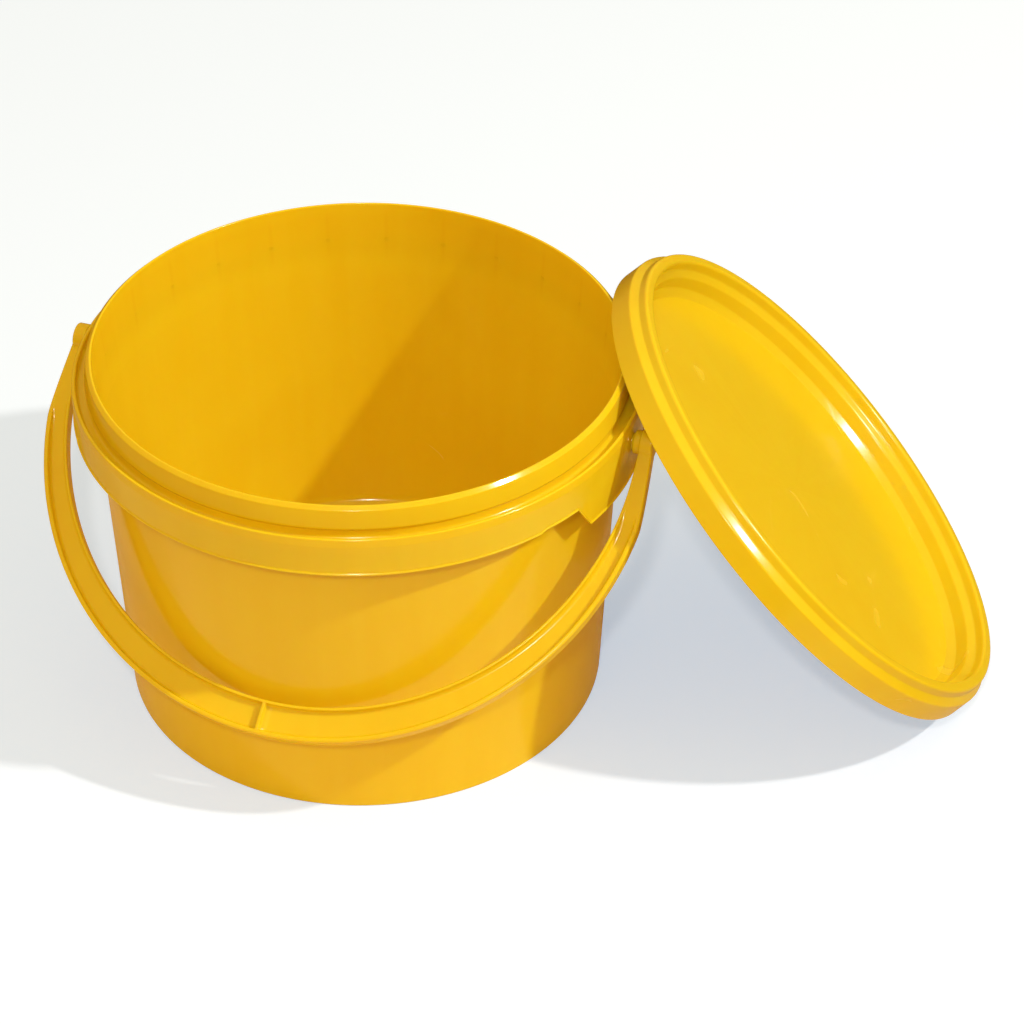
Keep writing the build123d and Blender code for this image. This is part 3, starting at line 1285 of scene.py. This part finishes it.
@dataclass
class Lid:
    """The press-on lid: skirt, shoulder, crest, ledge and dished panel. Sizes in millimetres."""

    pail: Pail
    wall: float = 1.2
    skirt_clear: float = 0.2
    skirt_floor_gap: float = 0.4
    skirt_draft: float = 0.5
    skirt_height: float = 7.4
    shoulder_height: float = 10.6
    shoulder_flare: float = 0.35
    crown_width: float = 2.4
    crown_fall: float = 2.27
    lip_clear: float = 0.15
    plug_clear: float = 0.25
    plug_draft: float = 0.3
    ledge_height: float = 10.2
    ledge_fall: float = 2.0
    stack_clear: float = 0.95
    recess_draft: float = 0.75
    recess_depth: float = 13.0
    ramp_height: float = 2.6
    ramp_width: float = 2.6
    snap_hook: float = 0.2
    snap_height: float = 2.8
    snap_half: float = 1.1

    @property
    def skirt_outer(self) -> float:
        """Outside of the skirt's edge."""
        return self.pail.groove_outer - self.skirt_clear

    @property
    def crest_height(self) -> float:
        """Top of the crest above the skirt's edge."""
        return self.pail.groove_drop - self.skirt_floor_gap + self.wall

    @property
    def panel_height(self) -> float:
        """Top of the panel above the skirt's edge."""
        return self.crest_height - self.recess_depth

    def top_line(self) -> list[Corner]:
        """Draw the upper side, from the skirt's edge to the panel.

        Returns:
            The corners of the line.
        """
        crest_outer = self.pail.lip_radius + self.lip_clear + self.wall
        crest_inner = self.pail.mouth_radius - self.plug_clear - self.wall
        recess = self.pail.base_radius + self.stack_clear
        return [
            Corner(self.skirt_outer, 0, 0.4),
            Corner(self.skirt_outer - self.skirt_draft, self.skirt_height, 1.6),
            Corner(crest_outer + self.shoulder_flare, self.shoulder_height, 0.7),
            Corner(crest_outer, self.crest_height, 1.1),
            Corner(crest_inner, self.crest_height, 1.1),
            Corner(crest_inner - self.plug_draft, self.ledge_height, 1.2),
            Corner(recess + self.recess_draft, self.ledge_height - self.ledge_fall, 1.2),
            Corner(recess, self.panel_height + self.ramp_height, 0.8),
            Corner(recess - self.ramp_width, self.panel_height, 0.5),
        ]

    def outline(self) -> list[Corner]:
        """Draw the half section, from the top of the panel round to its underside.

        Returns:
            The corners of the section.
        """
        top = self.top_line()
        bare = [(corner.radius, corner.height) for corner in top] + [(0.0, self.panel_height)]
        under = offset_line(bare, self.wall)
        (low_radius, low_height), (high_radius, high_height) = under[:2]
        lean = (high_radius - low_radius) / (high_height - low_height)

        def skirt_inside(height: float, round_off: float) -> Corner:
            """A corner on the inside of the skirt at a height."""
            return Corner(low_radius + lean * (height - low_height), height, round_off)

        crown = Corner(top[2].radius + self.crown_width, top[2].height - self.crown_fall, 0.9)
        return [
            Corner(0, self.panel_height),
            *reversed(top[2:]),
            crown,
            top[0],
            Corner(low_radius, low_height, 0.3),
            skirt_inside(self.snap_height - self.snap_half, 0.4),
            Corner(self.pail.bead_radius - self.snap_hook, self.snap_height, 0.5),
            skirt_inside(self.snap_height + self.snap_half, 0.4),
            *(Corner(radius, height, 0.5) for radius, height in under[1:-1]),
            Corner(0, under[-1][1]),
        ]

    def reach(self, lean: float) -> float:
        """Furthest the leaning lid comes from its centre along the ground, in millimetres."""
        top = self.top_line()
        return max(corner.radius * math.cos(lean) + corner.height * math.sin(lean) for corner in top)

    def place(self, facts: FrameFacts) -> Matrix:
        """Where the lid's axis and the centre of its skirt's edge lie as it leans.

        Args:
            facts: what the frame says.

        Returns:
            The place: X down the slope, Z out of the panel.
        """
        downhill = Vector((math.cos(facts.lean), 0, -math.sin(facts.lean)))
        place = Matrix((downhill, Vector((0, 1, 0)), facts.lid_normal)).transposed().to_4x4()
        place.translation = (
            facts.lid_high.x - self.reach(facts.lean) * MM,
            0,
            facts.lid_low.z + self.skirt_outer * math.sin(facts.lean) * MM,
        )
        return place

    def build(self, place: Matrix) -> Piece:
        """Make the lid where it leans.

        Args:
            place: the lid's axis and centre in the frame.

        Returns:
            The lid's object.
        """
        return mesh_object("press_lid", turned(rounded(self.outline()), turn_steps()), place)


def direction(azimuth: float, elevation: float) -> Vector:
    """Point somewhere by angles in degrees.

    Args:
        azimuth: the angle from +X towards +Y.
        elevation: the angle above the level.

    Returns:
        The direction, of length 1.
    """
    turn, rise = math.radians(azimuth), math.radians(elevation)
    return Vector((math.cos(turn) * math.cos(rise), math.sin(turn) * math.cos(rise), math.sin(rise)))


@dataclass
class Studio:
    """The floor, the lamps, the light of the room and the camera. Places in metres, angles in degrees.

    Args:
        floor_shown: the floor's colour to the camera.
        floor_glow: a blue glow that only the camera sees, which offsets the warm room on the floor.
        floor_near, floor_far: the floor's colours to the object, a painted pool of bright warm light before
            the pail and painted shade away from it.
        floor_near_place, floor_near_reach, floor_far_reach: where the one gives way to the other.
        sky_low, sky_high: the room's light on the object, warm, from the horizon and from overhead.
    """

    camera_place: tuple[float, float, float] = (0.0215, -0.9194, 0.7618)
    camera_azimuth: float = -2.0
    camera_elevation: float = 37.22
    camera_roll: float = 0.32
    lens: float = 112.5
    sensor: float = 36.0
    floor_size: float = 2.4
    floor_shown: ColourAlpha = (0.7, 0.7, 0.7, 1)
    floor_near: ColourAlpha = (0.84, 0.7, 0.46, 1)
    floor_far: ColourAlpha = (0.12, 0.07, 0.02, 1)
    floor_near_place: tuple[float, float, float] = (-0.05, -0.12, 0.0)
    floor_near_reach: float = 0.24
    floor_far_reach: float = 0.36
    floor_glow: ColourAlpha = (0.225, 0.395, 0.56, 1)
    key_azimuth: float = -22.5
    key_elevation: float = 46.6
    key_distance: float = 2.2
    key_size: float = 0.08
    key_power: float = 22.5
    fill_azimuth: float = -92.0
    fill_elevation: float = 44.0
    fill_distance: float = 1.4
    fill_size: float = 0.06
    fill_power: float = 4.0
    sky_low: ColourAlpha = (0.58, 0.34, 0.09, 1)
    sky_high: ColourAlpha = (0.76, 0.55, 0.26, 1)

    def build(self) -> None:
        """Make everything round the object."""
        self.build_camera()
        self.build_floor()
        self.build_lamps()
        bpy.context.scene.view_settings.view_transform = "Standard"

    def build_camera(self) -> None:
        """Set the camera at the photograph's viewing angle."""
        data = bpy.data.cameras.new("camera")
        data.lens = self.lens
        data.sensor_width = self.sensor
        back = direction(self.camera_azimuth - 90, self.camera_elevation)
        right = direction(self.camera_azimuth, 0)
        up = back.cross(right)
        roll = math.radians(self.camera_roll)
        rolled_right = right * math.cos(roll) + up * math.sin(roll)
        rolled_up = up * math.cos(roll) - right * math.sin(roll)
        camera = bpy.data.objects.new("camera", data)
        turn = Matrix((rolled_right, rolled_up, back)).transposed().to_4x4()
        camera.matrix_world = Matrix.Translation(self.camera_place) @ turn
        bpy.context.scene.collection.objects.link(camera)
        bpy.context.scene.camera = camera

    def build_floor(self) -> None:
        """Lay the floor, plain and pale to the camera, with a painted pool of warm light before the pail that
        only the object sees.
        """
        shell = bmesh.new()
        bmesh.ops.create_grid(shell, x_segments=1, y_segments=1, size=self.floor_size / 2)
        floor = mesh_object("floor", shell)
        material = bpy.data.materials.new("pale_floor")
        material.use_nodes = True
        tree = material.node_tree
        shader = tree.nodes["Principled BSDF"]
        shown = tree.nodes.new("ShaderNodeLightPath").outputs["Is Camera Ray"]
        away = tree.nodes.new("ShaderNodeVectorMath")
        away.operation = "DISTANCE"
        join(tree, tree.nodes.new("ShaderNodeTexCoord").outputs["Object"], away.inputs[0])
        join(tree, self.floor_near_place, away.inputs[1])
        far = ranged(tree, away.outputs["Value"], self.floor_near_reach, self.floor_far_reach)
        # Painted light: a bright warm pool on the floor before the pail, fading to painted shade further off,
        # seen only by the object.
        bounce = mixed(tree, far, self.floor_near, self.floor_far)
        join(tree, mixed(tree, shown, bounce, self.floor_shown), shader.inputs["Base Color"])
        shader.inputs["Roughness"].default_value = 0.8
        shader.inputs["Emission Color"].default_value = self.floor_glow
        join(tree, shown, shader.inputs["Emission Strength"])
        floor.data.materials.append(material)

    def build_lamp(
        self, name: str, bearing: tuple[float, float], distance: float, size: float, power: float
    ) -> None:
        """Set a round lamp that faces the object.

        Args:
            name: the lamp's name.
            bearing: its azimuth and elevation, in degrees.
            distance: how far it is from the origin.
            size: its diameter.
            power: its power in watts.
        """
        towards = direction(*bearing)
        data = bpy.data.lights.new(name, "AREA")
        data.shape = "DISK"
        data.size = size
        data.energy = power
        lamp = bpy.data.objects.new(name, data)
        lamp.location = towards * distance
        lamp.rotation_mode = "QUATERNION"
        lamp.rotation_quaternion = towards.to_track_quat("Z", "Y")
        bpy.context.scene.collection.objects.link(lamp)

    def build_lamps(self) -> None:
        """Set the key lamp, the lamp beside the camera and the warm room, which is white to the camera."""
        key = (self.key_azimuth, self.key_elevation)
        self.build_lamp("key", key, self.key_distance, self.key_size, self.key_power)
        fill = (self.fill_azimuth, self.fill_elevation)
        self.build_lamp("fill", fill, self.fill_distance, self.fill_size, self.fill_power)
        world = bpy.data.worlds.new("room")
        bpy.context.scene.world = world
        world.use_nodes = True
        tree = world.node_tree
        background = tree.nodes["Background"]
        split = tree.nodes.new("ShaderNodeSeparateXYZ")
        join(tree, tree.nodes.new("ShaderNodeTexCoord").outputs["Generated"], split.inputs[0])
        above = ranged(tree, split.outputs["Z"], 0.0, 1.0)
        sky = mixed(tree, above, self.sky_low, self.sky_high)
        shown = tree.nodes.new("ShaderNodeLightPath").outputs["Is Camera Ray"]
        join(tree, mixed(tree, shown, sky, (1, 1, 1, 1)), background.inputs["Color"])


def dress(piece: Piece, material: Material, body: str, node: str | None = None) -> None:
    """Give a piece its finish and its body, and hide the node that it replaces.

    Args:
        piece: the finished piece.
        material: its material.
        body: the body that carries it.
        node: the node that it replaces.
    """
    piece.data.materials.clear()
    piece.data.materials.append(material)
    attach(piece, body)
    if node is not None:
        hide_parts(node)
    log.info("%s rides on %s: %d faces", piece.name, body, len(piece.data.polygons))


def main() -> None:
    """Build the bucket's looks around the frame."""
    logging.basicConfig(level=logging.INFO, format="%(name)s: %(message)s")
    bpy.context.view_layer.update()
    facts = FrameFacts()

    pail = Pail(
        band_radius=(facts.pail_high.x - facts.pail_low.x) / 2 / MM,
        height=facts.pail_high.z / MM,
        ear_angle=facts.ear_angle,
        pivot_height=facts.pivot_centre.z / MM,
    )
    handle = StrapHandle(band_radius=pail.band_radius, band_wall=pail.band_wall)
    lid = Lid(pail)

    lid_place = lid.place(facts)

    effects = PlasticEffects()
    # More lemon than the plastic looks here, to offset the warm room.
    yellow = {"main": (0.85, 0.63, 0.011), "thin": (0.87, 0.67, 0.017), "deep": (0.83, 0.59, 0.008)}
    pail_finish = YellowPlastic("pail_yellow", ribs=pail.rib_marks(), **yellow).build(effects)
    handle_finish = YellowPlastic("handle_yellow", along=14.0, gloss=0.15, **yellow).build(effects)
    lid_finish = YellowPlastic(
        "lid_yellow", round=3.0, gloss=0.16, patches=0.5, place=lid_place.inverted(), **yellow
    ).build(effects)

    dress(pail.build_shell(), pail_finish, "bucket", "bucket")
    for ribs in pail.build_ribs(pail_finish):
        dress(ribs, pail_finish, "bucket")
    dress(handle.build(facts.strap_place()), handle_finish, "handle", "handle")
    dress(lid.build(lid_place), lid_finish, "lid", "lid")
    Studio().build()

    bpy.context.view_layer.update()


if __name__ == "__main__":
    main()
